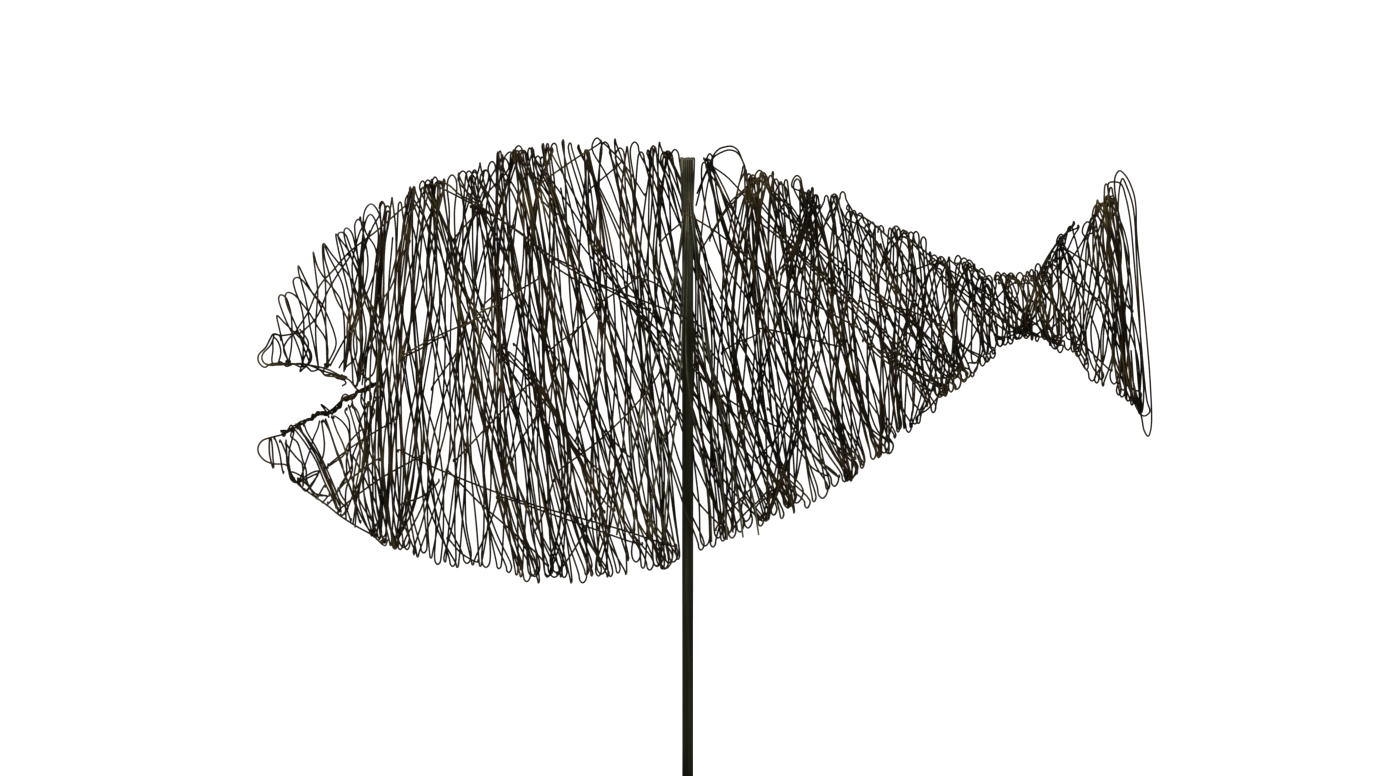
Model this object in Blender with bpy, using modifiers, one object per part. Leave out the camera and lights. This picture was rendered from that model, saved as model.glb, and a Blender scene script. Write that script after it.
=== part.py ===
"""A fish wound from thin black wire, carried on a square steel post with a low steel base.

The fish faces -X and is seen from the side when looking along +Y. The origin is on the post's axis,
in the middle of the base's underside. Lengths are in metres, worked out from the sizes below.
"""

import math
import random
from collections import namedtuple

import bmesh
import bpy
import numpy as np
from mathutils import Vector

MM = 0.001

# The fish. Its pose and outline are shares of its length and height.
FISH_LENGTH = 804 * MM
FISH_HEIGHT = 400 * MM
FISH_THICKNESS = 76 * MM
BELLY_HEIGHT = 213 * MM
WIRE_DIAMETER = 1.6 * MM

# The post and the base.
POST_SIDE = 10 * MM
POST_ABOVE_BELLY = 381 * MM
BASE_LENGTH = 240 * MM
BASE_WIDTH = 160 * MM
BASE_THICKNESS = 12 * MM
BASE_EDGE = 1 * MM

# What touches keeps this gap.
CLEARANCE = 0.3 * MM

# The wire's section is a triangle whose mean width is the wire's diameter.
WIRE_RADIUS = WIRE_DIAMETER * math.pi / (3 * math.sqrt(3))

# The post's axis stands at this share of the fish's length, and wires that grip it run this far
# from that axis.
POST_SHARE = 0.482
POST_TOP = BELLY_HEIGHT + POST_ABOVE_BELLY
HUG = POST_SIDE / 2 + CLEARANCE + WIRE_RADIUS
ROUND_POST = HUG * math.sqrt(2)

# The outline: points (share of length, share of height) from the nose to the tail's tips.
BACK = (
    (0.015, 0.57), (0.045, 0.68), (0.075, 0.75), (0.125, 0.84), (0.18, 0.905), (0.22, 0.925),
    (0.27, 0.97), (0.33, 0.995), (0.39, 1.0), (0.43, 0.985), (0.482, 0.96), (0.53, 0.975),
    (0.56, 0.93), (0.60, 0.91), (0.65, 0.855), (0.70, 0.80), (0.75, 0.775), (0.82, 0.70),
    (0.86, 0.715), (0.90, 0.80), (0.965, 0.925))
BELLY = (
    (0.012, 0.28), (0.045, 0.23), (0.143, 0.083), (0.19, 0.043), (0.24, 0.036), (0.28, 0.012),
    (0.33, 0.0), (0.38, 0.005), (0.44, 0.034), (0.485, 0.05), (0.51, 0.08), (0.54, 0.137),
    (0.58, 0.147), (0.65, 0.22), (0.70, 0.29), (0.78, 0.43), (0.82, 0.505), (0.86, 0.545),
    (0.90, 0.515), (0.927, 0.455), (0.96, 0.43), (0.997, 0.34))
UPPER_LIP = ((0.012, 0.487), (0.04, 0.492), (0.07, 0.482), (0.10, 0.455), (0.125, 0.43))
LOWER_LIP = ((0.015, 0.325), (0.04, 0.35), (0.07, 0.378), (0.10, 0.41), (0.132, 0.45))

# A run of loops between two edges. Its tips lie around a place that goes from `first` to `last`
# (share of length on the upper edge, the same on the lower), up to `stray` to either side.
# `thick` is its share of the fish's thickness at its two ends, `ragged` how far short of the edge
# a tip may stop, and `arch` the widest tip.
Run = namedtuple("Run", "upper lower first last loops thick stray ragged arch")

UPPER_JAW = Run(BACK, UPPER_LIP, (0.018, 0.030), (0.118, 0.118), loops=12,
                thick=(0.26, 0.62), stray=0.010, ragged=0.05, arch=0.010)
THROAT = Run(BACK, BELLY, (0.128, 0.136), (0.152, 0.146), loops=6,
             thick=(0.64, 0.68), stray=0.008, ragged=0.04, arch=0.008)
HEAD = Run(BACK, BELLY, (0.150, 0.155), (0.310, 0.345), loops=35,
           thick=(0.68, 0.97), stray=0.060, ragged=0.07, arch=0.009)
FORE_FLANK = Run(BACK, BELLY, (0.310, 0.345), (0.445, 0.500), loops=27,
                 thick=(0.97, 1.0), stray=0.070, ragged=0.06, arch=0.009)
REAR_FLANK = Run(BACK, BELLY, (0.445, 0.500), (0.680, 0.725), loops=42,
                 thick=(1.0, 0.72), stray=0.070, ragged=0.07, arch=0.010)
TAIL_ROOT = Run(BACK, BELLY, (0.680, 0.725), (0.890, 0.895), loops=36,
                thick=(0.72, 0.32), stray=0.036, ragged=0.07, arch=0.010)
TAIL_FIN = Run(BACK, BELLY, (0.880, 0.885), (0.964, 0.996), loops=18,
               thick=(0.32, 0.20), stray=0.018, ragged=0.10, arch=0.010)
LOWER_JAW = Run(LOWER_LIP, BELLY, (0.018, 0.020), (0.132, 0.140), loops=11,
                thick=(0.24, 0.62), stray=0.012, ragged=0.03, arch=0.007)

# No strand of the head strays forward of the corner of the mouth.
MOUTH_CORNER = 0.125

# Half the thickness of the fish at the tips of a loop and at its bends, as shares of the largest.
# A tip is never flatter than the last of these. Strands lie in layers between the inner one and
# the outside.
TIP_DEPTH = 0.11
BEND_DEPTH = 0.95
FLAT_TIP = 0.02
INNER_LAYER = 0.60
LAYER_STEP = (math.sqrt(5) - 1) / 2

# The tips stray by steps that never repeat, so that they spread evenly, and by this much chance.
STRAY_STEP = math.sqrt(2) - 1
STRAY_CHANCE = 0.45

# How far along a strand its two bends are, and how far they bow to either side.
BENDS = (0.24, 0.76)
BOW = 0.006

# Half the width of a tip, from the narrowest to the widest, as shares of its run's arch, and how
# often a loop crosses itself just below its tip.
ARCHES = (0.15, 0.5)
CROSSED_TIPS = 0.25

# Hand-laid stretches: points (share of length, share of height, share of half the thickness).
# They are the nose with the upper lip, the tail's outer edge, the slanting strands that run back
# along the body, and the tip of the lower jaw with its twisted lip.
NOSE = (
    (0.125, 0.437, 0.10), (0.095, 0.462, -0.20), (0.060, 0.486, -0.16), (0.030, 0.495, -0.14),
    (0.012, 0.487, -0.12), (0.001, 0.505, -0.05), (0.002, 0.530, 0.08), (0.012, 0.557, 0.16),
    (0.020, 0.530, 0.20), (0.018, 0.496, 0.12), (0.006, 0.486, 0.00), (0.004, 0.540, -0.14))
TAIL_EDGE = (
    (0.959, 0.910, 0.08), (0.967, 0.920, 0.00), (0.981, 0.850, -0.10), (0.988, 0.720, -0.16),
    (0.997, 0.550, -0.12), (1.000, 0.350, -0.06), (0.994, 0.330, 0.06), (0.983, 0.500, 0.14),
    (0.972, 0.720, 0.16), (0.960, 0.890, 0.10), (0.970, 0.885, -0.06), (0.985, 0.640, -0.16))
LONG_STRANDS = (
    (0.992, 0.400, -0.14), (0.955, 0.61, -0.22), (0.880, 0.78, 0.24), (0.840, 0.58, 0.36),
    (0.780, 0.72, 0.02), (0.700, 0.56, -0.66), (0.628, 0.33, -0.78), (0.600, 0.19, -0.20),
    (0.575, 0.66, 0.92), (0.555, 0.90, 0.20), (0.490, 0.80, -0.80), (0.430, 0.60, -0.98),
    (0.340, 0.69, -0.95), (0.275, 0.81, -0.75), (0.195, 0.89, -0.10), (0.215, 0.60, 0.90),
    (0.300, 0.46, 0.98), (0.400, 0.30, 0.92), (0.470, 0.09, 0.30), (0.405, 0.12, -0.62),
    (0.290, 0.19, -0.86), (0.205, 0.26, -0.84), (0.165, 0.34, -0.50), (0.143, 0.085, -0.10))
JAW_TIP = (
    (0.090, 0.160, -0.20), (0.045, 0.232, -0.18), (0.028, 0.262, -0.12), (0.009, 0.276, -0.02),
    (0.001, 0.303, 0.06), (0.013, 0.326, 0.12), (0.036, 0.345, 0.10), (0.060, 0.366, 0.02),
    (0.083, 0.386, -0.10), (0.106, 0.416, -0.20), (0.132, 0.449, -0.30), (0.118, 0.430, -0.10),
    (0.094, 0.402, 0.10), (0.070, 0.374, 0.16), (0.045, 0.350, 0.14), (0.018, 0.330, 0.00))

# The wires that grip the post: side by side over its top, and as long as this down its faces.
GRIP_LOOPS = 6
GRIP_PITCH = WIRE_DIAMETER * 1.15
GRIP_LENGTH = 72 * MM

# From there each runs out to a waist at this height, by turns this deep and this far aside of the
# post, and round under the belly, where the whole bundle is this much wider.
WAIST_HEIGHT = 0.34
WAIST_DEPTHS = (0.75, 0.83, 0.91)
WAIST_ASIDE = (ROUND_POST * 1.3, ROUND_POST * 1.8, ROUND_POST * 2.3)
GRIP_BELLY = 0.05
BELLY_SPREAD = 1.4

# A tip keeps this far from the post's axis, and any stretch of wire is moved out until it clears
# the post: by this much more than it needs, in at most so many rounds, and only by an end that
# has a fair share in its nearest point.
TIP_OFF_POST = ROUND_POST * 1.5
PUSH_PAST = 0.05 * MM
NEAR_ENOUGH = 0.01 * MM
PUSH_ROUNDS = 60
FAIR_SHARE = 0.2

SEED = 11


def at(share_long, share_high, share_deep):
    """The point at these shares of the fish's length, height and half thickness."""
    return Vector((
        (share_long - POST_SHARE) * FISH_LENGTH,
        share_deep * (FISH_THICKNESS / 2 - WIRE_RADIUS),
        BELLY_HEIGHT + WIRE_RADIUS + share_high * (FISH_HEIGHT - 2 * WIRE_RADIUS)))


def height_of(edge, share_long):
    """The height of an edge at a share of the length."""
    return float(np.interp(share_long, [point[0] for point in edge], [point[1] for point in edge]))


def between(start, end, share):
    """The value or values at a share of the way from start to end."""
    if isinstance(start, tuple):
        return tuple(between(a, b, share) for a, b in zip(start, end))
    return start + (end - start) * share


def beside_post(share_long):
    """A place for a tip, moved off the post."""
    off = share_long - POST_SHARE
    least = TIP_OFF_POST / FISH_LENGTH
    if abs(off) < least:
        return POST_SHARE + math.copysign(least, off)
    return share_long


def loop_tips(run, draws):
    """The tips of a run, on the upper and the lower edge by turns."""
    tips = []
    count = 2 * run.loops + 1
    for index in range(count):
        upper = index % 2 == 0
        edge = run.upper if upper else run.lower
        other = run.lower if upper else run.upper
        middle = between(run.first, run.last, index / count)[0 if upper else 1]
        ends = sorted((run.first[0 if upper else 1], run.last[0 if upper else 1]))
        low_end = max(ends[0] - run.stray / 2, edge[0][0])
        if run.upper is BACK and run.lower is BELLY:
            low_end = max(low_end, MOUTH_CORNER)
        high_end = min(ends[1] + run.stray / 2, edge[-1][0])
        even = 2 * ((index * STRAY_STEP) % 1.0) - 1
        stray = between(even, draws.uniform(-1, 1), STRAY_CHANCE)
        place = middle + run.stray * stray
        if place < low_end:
            place = min(2 * low_end - place, high_end)
        if place > high_end:
            place = max(2 * high_end - place, low_end)
        place = beside_post(place)
        height = height_of(edge, place)
        short = run.ragged * draws.random() ** 2 * (height_of(other, place) - height)
        tips.append((place, height + short))
    return tips


def wind(run, draws):
    """A run of loops: down the near side, under, up the far side and over to the next."""
    tips = loop_tips(run, draws)
    points = []
    for index in range(len(tips) - 1):
        share = index / len(tips)
        thick = between(run.thick[0], run.thick[1], share)
        start, end = tips[index], tips[index + 1]
        before = tips[max(index - 1, 0)]
        side = -1 if index % 2 == 0 else 1
        layer = between(INNER_LAYER, 1.0, (index * LAYER_STEP) % 1.0)
        tip_deep = thick * TIP_DEPTH + FLAT_TIP
        half_arch = run.arch * draws.uniform(*ARCHES) * math.copysign(1.0, end[0] - before[0])
        if draws.random() < CROSSED_TIPS:
            half_arch = -half_arch
        points.append((start[0] - half_arch, start[1], -side * tip_deep))
        points.append((start[0] + half_arch, start[1], side * tip_deep))
        for bend in BENDS:
            along, height = between(start, end, bend)
            bow = draws.uniform(-BOW, BOW)
            points.append((along + bow, height, side * thick * layer * BEND_DEPTH))
    return [at(*point) for point in points]


def grip():
    """Loops that run up one face of the post, over its top and down the other face."""
    points = []
    over = POST_TOP + CLEARANCE + WIRE_RADIUS
    belly = at(0, GRIP_BELLY, 0).z
    for index in range(GRIP_LOOPS):
        x = (index - (GRIP_LOOPS - 1) / 2) * GRIP_PITCH
        turn = index % len(WAIST_ASIDE)
        aside = WAIST_ASIDE[turn] * (-1 if index % 2 else 1)
        waist = at(0, WAIST_HEIGHT, WAIST_DEPTHS[turn])
        points.append(Vector((x, HUG, over - GRIP_LENGTH)))
        points.append(Vector((x, HUG, over)))
        points.append(Vector((x, -HUG, over)))
        points.append(Vector((x, -HUG, over - GRIP_LENGTH)))
        points.append(Vector((x + aside, -waist.y, waist.z)))
        points.append(Vector((aside * BELLY_SPREAD, -HUG / 2, belly)))
        points.append(Vector((aside * BELLY_SPREAD, HUG / 2, belly)))
        points.append(Vector((x + aside, waist.y, waist.z)))
    return points


def clear_post(points, fixed):
    """Moves the free points until every stretch of wire keeps its distance from the post."""
    top = POST_TOP + CLEARANCE + WIRE_RADIUS
    for _ in range(PUSH_ROUNDS):
        moved = False
        for index in range(len(points) - 1):
            ends = (points[index], points[index + 1])
            free = [end for end in (0, 1) if index + end not in fixed]
            span = (ends[1] - ends[0]).xy
            if not free or span.length == 0:
                continue
            share = min(max(-ends[0].xy.dot(span) / span.length_squared, 0.0), 1.0)
            nearest = ends[0].lerp(ends[1], share)
            missing = ROUND_POST - nearest.xy.length
            weights = (1.0 - share, share)
            has_share = max(weights[end] for end in free) > FAIR_SHARE
            if missing < NEAR_ENOUGH or nearest.z > top or not has_share:
                continue
            away = nearest.xy.normalized() if nearest.xy.length > MM else Vector((0.0, 1.0))
            for end in free:
                push = away * (missing + PUSH_PAST)
                ends[end].x += push.x
                ends[end].y += push.y
            moved = True
        if not moved:
            break
    return points


def wire_route():
    """The whole wire, from the corner of the mouth to the tail and back to the lower jaw."""
    draws = random.Random(SEED)
    points = [at(*place) for place in NOSE]
    for run in (UPPER_JAW, THROAT, HEAD, FORE_FLANK):
        points += wind(run, draws)
    gripping = range(len(points), len(points) + 8 * GRIP_LOOPS)
    points += grip()
    for run in (REAR_FLANK, TAIL_ROOT, TAIL_FIN):
        points += wind(run, draws)
    points += [at(*place) for place in TAIL_EDGE + LONG_STRANDS + JAW_TIP]
    points += wind(LOWER_JAW, draws)
    return clear_post(points, gripping)


def material(name, colour, roughness, metallic):
    """A plain finish."""
    finish = bpy.data.materials.new(name)
    finish.use_nodes = True
    shader = finish.node_tree.nodes["Principled BSDF"]
    shader.inputs["Base Color"].default_value = (*colour, 1.0)
    shader.inputs["Roughness"].default_value = roughness
    shader.inputs["Metallic"].default_value = metallic
    return finish


def poly_curve(name, points, cyclic, parts):
    """A curve object of straight runs through the points."""
    curve = bpy.data.curves.new(name, "CURVE")
    curve.dimensions = "3D"
    spline = curve.splines.new("POLY")
    spline.points.add(len(points) - 1)
    for point, place in zip(spline.points, points):
        point.co = (*place, 1.0)
    spline.use_cyclic_u = cyclic
    shape = bpy.data.objects.new(name, curve)
    parts.objects.link(shape)
    return shape


def make_wire_fish(parts, guides, finish):
    """The fish: the wire's section swept along its route."""
    turns = [math.radians(90 - 120 * index) for index in range(3)]
    corners = [(WIRE_RADIUS * math.cos(turn), WIRE_RADIUS * math.sin(turn), 0.0) for turn in turns]
    section = poly_curve("wire_section", corners, True, guides)
    section.data.dimensions = "2D"
    section.hide_render = True
    section.display_type = "WIRE"
    fish = poly_curve("wire_fish", wire_route(), False, parts)
    fish.data.bevel_mode = "OBJECT"
    fish.data.bevel_object = section
    fish.data.use_fill_caps = True
    fish.data.materials.append(finish)


def make_block(name, size, middle, finish, parts):
    """A square-edged block."""
    mesh = bpy.data.meshes.new(name)
    form = bmesh.new()
    bmesh.ops.create_cube(form, size=1.0)
    bmesh.ops.scale(form, vec=size, verts=form.verts)
    form.to_mesh(mesh)
    form.free()
    mesh.materials.append(finish)
    block = bpy.data.objects.new(name, mesh)
    block.location = middle
    parts.objects.link(block)
    return block


def make_base(parts, finish):
    """The plate, with its edges eased."""
    base = make_block("steel_base", (BASE_LENGTH, BASE_WIDTH, BASE_THICKNESS),
                      (0.0, 0.0, BASE_THICKNESS / 2), finish, parts)
    eased = base.modifiers.new("eased edges", "BEVEL")
    eased.width = BASE_EDGE
    eased.segments = 1


def make_post(parts, finish):
    """The square bar, from the plate's top to the fish's back."""
    foot = BASE_THICKNESS + CLEARANCE
    make_block("steel_post", (POST_SIDE, POST_SIDE, POST_TOP - foot),
               (0.0, 0.0, (foot + POST_TOP) / 2), finish, parts)


def main():
    for thing in list(bpy.data.objects):
        bpy.data.objects.remove(thing, do_unlink=True)
    parts = bpy.data.collections.new("wire_sculpture")
    guides = bpy.data.collections.new("guides")
    bpy.context.scene.collection.children.link(parts)
    bpy.context.scene.collection.children.link(guides)
    wire_black = material("black annealed wire", (0.035, 0.028, 0.02), 0.55, 0.8)
    bar_black = material("black mill scale bar", (0.03, 0.03, 0.028), 0.5, 0.8)
    plate_black = material("black mill scale plate", (0.03, 0.03, 0.028), 0.55, 0.8)
    make_wire_fish(parts, guides, wire_black)
    make_post(parts, bar_black)
    make_base(parts, plate_black)


main()
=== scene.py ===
"""The looks of a fish wound from thin black wire, on a square steel post with a low steel base.

The fish faces -X, and its near side faces -Y. Places on it are pixels of the photograph, read off it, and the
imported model's post carries them over: its axis gives across and its top gives down.
"""

import math
import random
from collections import Counter, namedtuple

import bmesh
import bpy
import numpy as np
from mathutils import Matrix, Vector


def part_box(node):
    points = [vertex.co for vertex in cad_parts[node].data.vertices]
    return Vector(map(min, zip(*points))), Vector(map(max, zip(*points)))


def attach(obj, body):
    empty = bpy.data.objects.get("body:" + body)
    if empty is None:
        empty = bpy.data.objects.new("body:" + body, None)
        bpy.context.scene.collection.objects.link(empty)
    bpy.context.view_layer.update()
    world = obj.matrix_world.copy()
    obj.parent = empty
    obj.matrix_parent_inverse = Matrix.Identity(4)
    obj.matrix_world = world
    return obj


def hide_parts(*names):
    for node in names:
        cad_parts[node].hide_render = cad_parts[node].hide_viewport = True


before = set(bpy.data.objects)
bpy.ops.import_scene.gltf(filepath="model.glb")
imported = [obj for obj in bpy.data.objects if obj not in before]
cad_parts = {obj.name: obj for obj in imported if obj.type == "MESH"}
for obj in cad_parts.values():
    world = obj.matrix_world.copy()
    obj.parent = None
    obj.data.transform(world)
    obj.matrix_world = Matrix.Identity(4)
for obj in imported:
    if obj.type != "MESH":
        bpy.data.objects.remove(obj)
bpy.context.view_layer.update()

MM = 0.001

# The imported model's nodes.
_, FISH_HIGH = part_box("wire_fish")
POST_LOW, POST_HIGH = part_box("steel_post")
BASE_LOW, BASE_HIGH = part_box("steel_base")

# The photograph: a pixel's size at the fish, and where the post's axis and top are.
PIXEL = 0.9 * MM
POST_AXIS_PX = 687.7
POST_TOP_PX = 160.0
FRAME_CENTRE_PX = (690.0, 388.0)
FRAME_WIDTH_PX = 1380

# No strand crosses in front of the post above this height, and no filling turn's tip lies nearer
# to the post's axis than this.
BARE_POST_PX = 430.0
CLEAR_OF_POST_PX = 13.5

# The wire, drawn round with this many rings between the places that it is led through, and with
# fewer where those are close.
WIRE_DIAMETER = 1.6 * MM
WIRE_RADIUS = WIRE_DIAMETER / 2
WIRE_FACETS = 2
RINGS = 5
KNOT_RINGS = 3

# Half the fish's thickness, and its share of that along the length: (across, share).
HALF_THICKNESS = FISH_HIGH.y - WIRE_DIAMETER
THICKNESS = (
    (257, 0.22), (300, 0.38), (365, 0.64), (400, 0.72), (530, 0.97), (690, 1.0), (800, 0.88), (870, 0.72),
    (960, 0.5), (1050, 0.32), (1151, 0.18))

# How much further back a strand ends at the belly than it starts at the back: (across, pixels).
LEAN = (
    (380, 0), (400, 4), (447, 36), (490, 85), (530, 118), (580, 126), (650, 110), (700, 84), (740, 60),
    (780, 46), (830, 40), (900, 30), (930, 24), (960, 14), (1020, 6), (1060, 6), (1123, 20))

# How far forward of the straight line a strand that starts here hangs on the whole: (across,
# pixels). It leaves the back steeply and slants most at the belly.
HANG = (
    (380, 4), (440, 8), (500, 12), (690, 12), (740, 14), (830, 12), (900, 6), (960, 2), (1020, 0))

# The crests of the loops along the back, read from left to right: (across, down), and half the
# width of the bend where it is a wide one or a sharp one.
BACK = (
    (411, 190), (414, 186.5), (422.5, 181, 3), (428, 180), (435, 177, 3), (444, 179), (452, 175, 5),
    (458.6, 173, 0.5), (463, 171), (469, 171, 4), (474.5, 170, 3), (480, 163, 0.6), (486, 170),
    (492, 161.5, 4), (500, 151, 1.5), (504, 158), (510, 152, 7), (515.5, 150, 1), (520, 145.7, 5),
    (529.6, 148, 2), (532, 147.5, 0.8), (540, 156), (547.5, 143.6, 1.5), (554, 143.2, 3.5), (563, 139.8, 1),
    (570, 143, 1.8), (578.5, 145, 0.8), (587, 149.8, 1), (597, 138, 5), (605, 142, 5), (610, 150),
    (615, 139, 0.5), (620, 148), (627, 146.5, 0.6), (634.7, 142, 4.5), (641, 152), (648, 150),
    (653.3, 145.8, 3), (659.5, 142.3, 0.6), (664, 152), (668, 151), (675, 149.5, 4.3), (704, 162.3, 2.4),
    (709.8, 153.8, 2.8), (744.5, 166, 1), (751, 176), (759.5, 170.3, 5), (763.5, 172.5),
    (772.8, 171.6, 0.6), (776, 179, 2.5), (786, 179.6, 1.6), (797, 175.5, 5), (797.2, 179, 3.5), (804, 189),
    (812.3, 187.5, 0.8), (816, 194.7, 2.5), (826.3, 195.5, 2), (834.4, 194, 4), (842.7, 191.7, 3),
    (848, 205), (854, 210.5, 2), (860, 213), (863, 217), (872, 222), (881, 225.6, 3), (890, 228),
    (896, 226), (901, 229), (905.5, 231), (911, 232, 3), (916, 231.5), (923.5, 237, 2.5), (930, 252),
    (936, 255), (941, 256.5, 5), (949, 257), (958, 255.5, 3), (964, 258), (969, 260, 5), (974, 264),
    (981.5, 268.5), (989, 275.5), (997.8, 272), (1004, 273, 3), (1011.6, 273), (1019.8, 272.5, 4),
    (1027.4, 271.5), (1033, 269.5), (1038, 263.7, 2.6), (1045.3, 266), (1049, 261.3), (1053, 251.6, 3),
    (1061, 234.3, 4), (1062, 247.5, 7), (1070.3, 226.3, 3), (1076, 221.5, 0.5), (1087.6, 221.8, 5),
    (1093, 217, 3), (1097.5, 200, 0.5), (1101, 203), (1108.5, 184, 1.5), (1112, 196, 4))

# The lowest places of the loops along the belly, in the same way.
BELLY = (
    (395, 549), (407, 549.6, 3), (414, 554.7, 1), (417.7, 557, 0.8), (423.8, 553, 3), (431, 558),
    (437.8, 564.4, 3), (445, 562), (452.7, 566.4, 3), (457.4, 567.4, 1), (467, 563.4, 4), (472.8, 565),
    (480.4, 566.4, 1), (486, 567.4, 4), (499, 568.7), (508.8, 572.5, 2.5), (521, 576.9, 1),
    (526.8, 581.6, 3.5), (534.7, 576.5, 5), (538.6, 583, 0.6), (548.5, 576), (554.4, 577.3, 7),
    (561, 577, 0.6), (564.3, 577.5, 2.5), (571.2, 583, 0.6), (582.8, 582.8, 4), (588, 575),
    (591.8, 576, 0.8), (600, 566), (607.5, 577, 0.6), (610.6, 576.5, 2), (618, 573, 2), (626, 574.5, 0.6),
    (628, 560.5, 0.6), (636, 562), (643, 568.2, 2), (649.8, 570, 3.5), (657, 566.5, 4), (664.5, 569, 4),
    (671, 563), (678, 559.3, 1.6), (701, 550, 3), (705, 546), (713, 547, 3), (718, 538), (724, 531.7),
    (732, 538, 4), (740, 532), (748, 528), (760.6, 526, 3), (766, 521), (773.7, 515, 3), (781.8, 518.5, 2),
    (787, 507), (794, 513, 0.5), (796.6, 503), (807, 508, 3), (814, 501.8), (822.5, 498.3), (827.6, 489.7),
    (834.5, 486.3, 4), (845.4, 481.7, 3), (851, 481), (857, 474), (862.7, 465), (873, 459.3, 3),
    (878.7, 457.6), (884, 456), (889, 453.6, 4), (894.8, 438), (901.7, 429.5), (908.6, 432.3, 3),
    (913, 428), (918.3, 423.4), (920, 415), (927, 406.5), (933.3, 412.6, 2.6), (939.6, 397.3),
    (945.3, 396.2), (951, 392), (956.8, 389.3, 4), (964, 382), (973, 373), (982.5, 366, 3), (987, 362),
    (992.7, 358.3), (1000, 346.5), (1005, 345), (1010.6, 344), (1016.7, 339.4, 3), (1021, 339),
    (1027, 338.4, 4), (1032, 340), (1037, 341.4), (1044.8, 339.4, 3), (1051.4, 345.5, 0.6), (1055, 349),
    (1060, 352.7, 3), (1067.8, 350, 4), (1073, 352), (1078, 356.7, 2.5), (1086.4, 369.8, 2), (1092, 381, 4),
    (1099, 383, 2), (1103, 386, 1), (1114, 384, 4), (1122, 397), (1128, 401, 3), (1134, 405),
    (1140, 414, 2))

# A turn of the wire: the tip that it starts from, the one that it goes round, how many wires lie
# side by side in it, and how far down they come together.
Turn = namedtuple("Turn", "top bottom wires pinch", defaults=(1, 0.5))

# The arches of the upper jaw, each listed: its crest, and from there its way down the near side and its way
# down the far side.
UPPER_ARCHES = (
    ((277, 315.5),
     ((280, 328), (282.5, 338), (285, 349), (288.5, 362)),
     ((283, 322), (290, 329), (297, 336), (305, 345), (310, 353), (310, 361), (300, 371.5))),
    ((281, 294.8),
     ((279.3, 299), (283, 311), (289, 325), (296, 339), (302, 356), (303, 366)),
     ((285.5, 298), (288, 305), (290, 314), (291, 331), (290.5, 348), (289, 361))),
    ((288, 292.4),
     ((286, 296.5), (289, 308), (294, 319), (299, 331), (304, 346), (309, 361)),
     ((294, 295), (300, 302), (309, 314), (316, 326), (323, 336), (326.5, 346), (327.5, 362))),
    ((296.5, 277.5),
     ((294, 281), (296, 290), (301, 303), (304, 315), (305, 330), (304, 350), (303, 366)),
     ((301, 279.5), (310, 291), (320, 303), (325, 313), (333, 333), (335, 345), (327, 365))),
    ((298.4, 265.8),
     ((299.5, 273), (302, 281), (306, 296), (309, 311), (311, 326), (314.5, 343), (318, 365)),
     ((301.5, 273), (306, 283), (312, 294), (317, 301), (321, 312), (325, 328), (328, 364))),
    ((313.3, 252.2),
     ((315, 262), (317.3, 278), (319, 293), (318, 309), (316.8, 325), (317, 345), (318.5, 368)),
     ((316.5, 266), (322, 276), (334, 291), (339, 299), (342, 313), (343.5, 330), (344, 372))),
    ((323.4, 243.4),
     ((324, 260), (326.5, 280), (327, 300), (326.8, 320), (327.5, 345), (327, 366)),
     ((330, 253), (337, 262), (348, 276), (355, 292), (357, 303), (350, 335), (345, 370))),
    ((324, 245),
     ((325.5, 258), (330, 273), (334.5, 290), (339, 302), (345, 312), (354, 330), (362, 345)),
     ((328, 256), (335, 270), (341, 284), (344, 300), (348, 315), (347, 350), (339, 368))),
    ((336, 234),
     ((338, 243), (341, 256), (344.5, 270), (351.5, 300), (357, 330), (357, 356), (345, 368)),
     ((340, 240), (347, 250), (352, 262), (358, 275), (360, 310), (361, 340), (357, 385))),
    ((341, 232.3),
     ((339, 236), (343, 248), (347, 262), (352, 280), (354, 300), (348, 345), (345, 366)),
     ((345, 235), (349, 246), (358, 270), (359, 290), (350, 328), (343, 340), (330, 366))),
    ((346.5, 228),
     ((345, 233), (347, 243), (356, 266), (362, 281), (372, 305), (379, 330), (384, 345)),
     ((351, 233), (354, 246), (359, 272), (356, 305), (360, 322), (360, 366), (356, 387))),
    ((358, 219.5),
     ((355.8, 226), (357, 239), (360, 266), (361, 310), (362, 345), (363, 368), (366, 382)),
     ((362, 224), (365, 233), (374, 248), (376, 290), (378, 320), (365, 358), (362, 385))),
    ((371.3, 204),
     ((367, 209), (365, 217), (365, 250), (366, 300), (372, 318), (366, 356), (357, 386)),
     ((376, 209), (379, 218), (379, 262), (374, 315), (369, 338), (375, 355), (382, 388))),
    ((370.8, 214.5),
     ((367, 221), (363, 250), (364, 288), (370, 300), (380, 318), (385, 334), (388, 350)),
     ((375, 222), (377, 234), (373, 270), (369, 310), (372, 350), (378, 365), (383, 385))))

# The thicker bundles of the jaws.
UPPER_JAW = (
    Turn((362, 217, 0.8), (357, 386), 2, 0.35), Turn((380, 212), (368, 390)))
LOWER_JAW = (
    Turn((368, 390), (372, 536)), Turn((378, 386), (379, 538)))
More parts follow.
